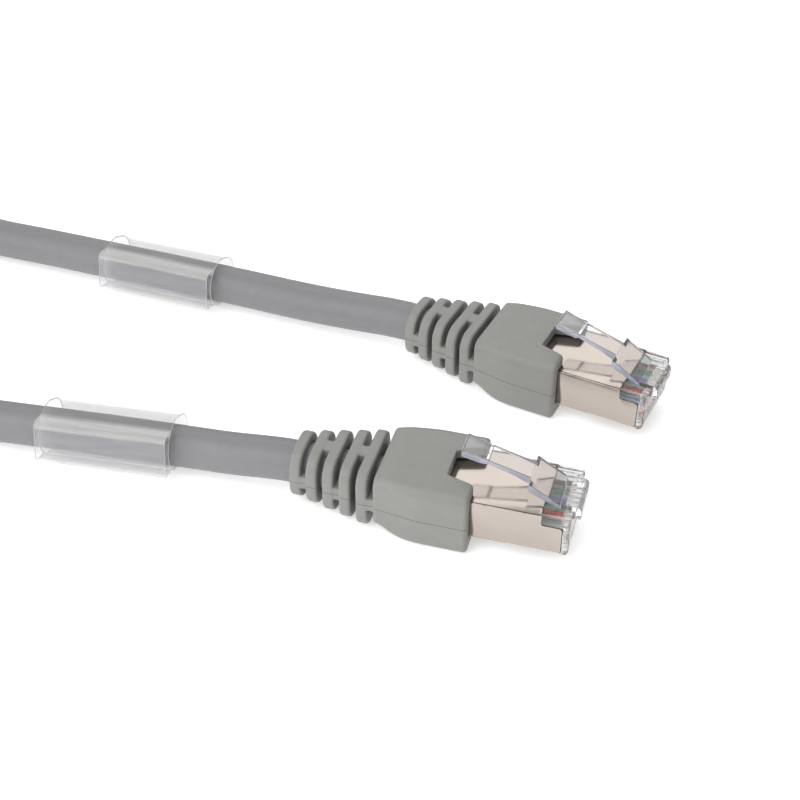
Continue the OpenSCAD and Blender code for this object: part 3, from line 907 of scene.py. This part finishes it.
def make_ties(look):
    parts = []
    middle = Vector((HANK_X - RUN / 2, HANK_Y, 0)) / MM
    for side in (-1, 1):
        at = middle + Vector((0, side * TURNS[2][0] / MM, 0))
        outer, inner = tie_outline(CABLE_R + TIE_T), tie_outline(CABLE_R + 0.02)
        parts.append(hollow_prism(outer, [inner], -TIE_W / 2, TIE_W / 2,
                                  lambda u, v, w, at=at: (at.x + w, at.y + u, at.z + v)))
    mesh = mesh_of("hank_ties", *combine(parts))
    ties = add_object("hank_tie_bands", mesh, look, Matrix.Scale(MM, 4))
    bevelled(ties, 0.00015)
    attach(ties, "cable")
    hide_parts("hank_ties")
    return ties


# ---------------------------------------------------------------- assembling an end
def place_copy(name, mesh, end, look, node_name, body):
    piece = add_object(f"{name}_{end}", mesh.copy(), look, plug_place(end))
    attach(piece, body)
    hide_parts(f"{node_name}_{end}")
    return piece


def make_ends(looks):
    boot, housing, latch, shield = boot_mesh(), housing_mesh(), latch_mesh(), shield_mesh()
    for end in "ab":
        place_copy("strain_boot", boot, end, looks["boot"], "boot", "cable")
        place_copy("clear_body", housing, end, looks["clear"], "plug_housing", "cable")
        lever = place_copy("latch_lever", latch, end, looks["latch"], "latch", f"latch_{end}")
        # The latch's second material is the painted shade of its sideways faces.
        lever.data.materials.append(looks["latch_side_shade"])
        shell = place_copy("metal_shield", shield, end, looks["shield"], "shield", "cable")
        # The shield's second material is the near-black painted shade of its gaps.
        shell.data.materials.append(looks["painted_gap_shade"])
        bevelled(shell, 0.00006)


def finish_cad_nodes(looks):
    """Gives its material to each CAD node that has no visual piece of its own."""
    plain = {"contacts": looks["gold"], "wire_guide": looks["clear"], "wire_cores": looks["copper"],
             "foil_wrap": looks["foil"], "braid": looks["braid"], "jacket_end": looks["jacket"]}
    for name, color in WIRE_COLORS.items():
        plain[f"wire_{name}"] = wire_material(f"insulation_{name}", color)
        plain[f"wire_white_{name}"] = striped_material(f"insulation_white_{name}", color,
                                                       STRIPE_SHARE)
    for name, piece in frame["nodes"].items():
        look = plain.get(name[:-2])
        if look:
            piece.data.materials.clear()
            piece.data.materials.append(look)


# ---------------------------------------------------------------- stage and light
FLOOR_HALF = 3
LIT_POINT = Vector((-0.02, 0, 0))
HORIZON_GREY, ZENITH_GREY = 0.5, 0.85


def make_stage():
    h = FLOOR_HALF
    mesh = mesh_of("floor", [(-h, -h, 0), (h, -h, 0), (h, h, 0), (-h, h, 0)], [(0, 1, 2, 3)])
    white = material("floor_white", (0.93, 0.93, 0.93), 0.6, Emission_Color=(1, 1, 1, 1),
                     Emission_Strength=0.4)
    add_object("floor", mesh, white)


def area_light(name, location, size, power):
    data = bpy.data.lights.new(name, "AREA")
    data.size = size
    data.energy = power
    lamp = bpy.data.objects.new(name, data)
    bpy.context.collection.objects.link(lamp)
    lamp.location = location
    lamp.rotation_euler = (LIT_POINT - lamp.location).to_track_quat("-Z", "Y").to_euler()


def make_light():
    """White overhead, greyer towards the horizon, as in a studio with a soft box above."""
    world = bpy.data.worlds.new("world")
    world.use_nodes = True
    nodes, links = world.node_tree.nodes, world.node_tree.links
    place = nodes.new("ShaderNodeTexCoord")
    split = nodes.new("ShaderNodeSeparateXYZ")
    ramp = nodes.new("ShaderNodeValToRGB")
    links.new(place.outputs["Generated"], split.inputs["Vector"])
    links.new(split.outputs["Z"], ramp.inputs["Fac"])
    links.new(ramp.outputs["Color"], nodes["Background"].inputs["Color"])
    set_ramp(ramp, (0, (HORIZON_GREY,) * 3), (0.9, (ZENITH_GREY,) * 3))
    nodes["Background"].inputs["Strength"].default_value = 0.8
    bpy.context.scene.world = world
    bpy.context.scene.view_settings.view_transform = "Standard"
    area_light("key", (-0.25, -0.35, 0.6), 0.5, 2.2)
    area_light("fill", (-0.45, -0.5, 0.2), 0.4, 1.7)
    area_light("back", (-0.1, 0.6, 0.6), 0.8, 2.2)


# ---------------------------------------------------------------- making everything
LOOKS = {"boot": boot_material(), "jacket": jacket_material(), "shield": shield_material(),
         # Near-black painted shade for the gaps of the shield's folded sheet.
         "painted_gap_shade": material("shield_painted_gap_shade", (0.03, 0.026, 0.022), 0.7),
         "clear": refracting_material("clear_polycarbonate", (0.93, 0.93, 0.94), 0.05, 0.94),
         "latch": refracting_material("latch_polycarbonate", (0.9, 0.9, 0.91), 0.04, 0.98),
         # A darker, bluer copy of the latch's clear plastic: painted shade on its sideways faces.
         "latch_side_shade": refracting_material("latch_side_painted_shade", (0.5, 0.51, 0.6), 0.15, 0.5),
         # The sleeve's one film in four copies whose brightness is painted light and shade: the loop darkest, then
         # the pocket's front, the folds, and the cut edges as a white painted highlight.
         "sleeve": film_material("sleeve_film", (0.45, 0.44, 0.43), 0.2, 0.2),
         "pocket_film_painted_light": film_material("pocket_film_painted_light", (0.62, 0.62, 0.66), 0.2, 0.2),
         "sleeve_fold_painted_light": film_material("sleeve_fold_painted_light", (0.8, 0.8, 0.79), 0.25, 0.3),
         "sleeve_edge_painted_highlight": film_material("sleeve_cut_edge_painted_highlight", (0.98, 0.98, 0.98), 0.4, 0.9),
         "gold": metal_material("contact_gold", (0.9, 0.62, 0.25), 0.25),
         "copper": metal_material("wire_copper", (0.8, 0.42, 0.25), 0.3),
         "foil": metal_material("screen_foil", (0.85, 0.86, 0.88), 0.3),
         "braid": metal_material("screen_braid", (0.7, 0.7, 0.7), 0.4),
         "tie": wire_material("tie_plastic", (0.12, 0.12, 0.12))}

make_camera()
cable = make_cable(LOOKS["jacket"])
ties = make_ties(LOOKS["tie"])
sleeves = [make_sleeve(end, LOOKS) for end in "ab"]
make_ends(LOOKS)
finish_cad_nodes(LOOKS)
make_stage()
make_light()
